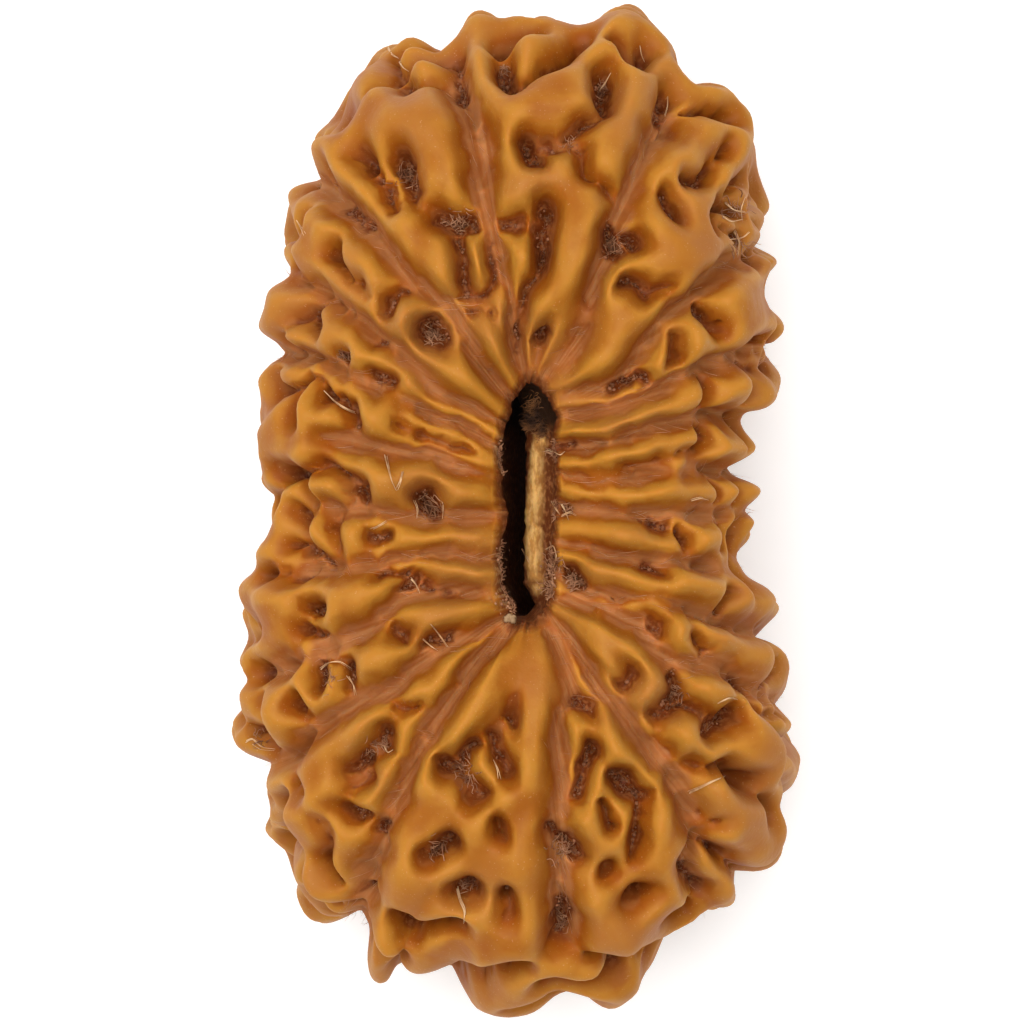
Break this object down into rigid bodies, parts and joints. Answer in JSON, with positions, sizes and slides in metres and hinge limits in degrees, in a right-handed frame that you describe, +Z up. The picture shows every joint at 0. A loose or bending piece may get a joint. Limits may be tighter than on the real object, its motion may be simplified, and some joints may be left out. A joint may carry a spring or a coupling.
{
  "type": "rudraksha seed",
  "caption": "Oblong, waisted seed stone with a netted, furrowed surface and a natural thread hole through its middle, from slit to slit.",
  "frame": {"origin": "on the ground, under the middle of the seed's box", "axes": "+Z up along the thread hole, +Y along the seed's length, +X across its waist"},
  "size_m": [0.019, 0.034, 0.0203],
  "materials": {
    "seed_wood": "waxy, amber-brown, darker in the pits"
  },
  "bodies": {
    "root": {"rudraksha_stone": "seed_wood"}
  },
  "joints": []
}
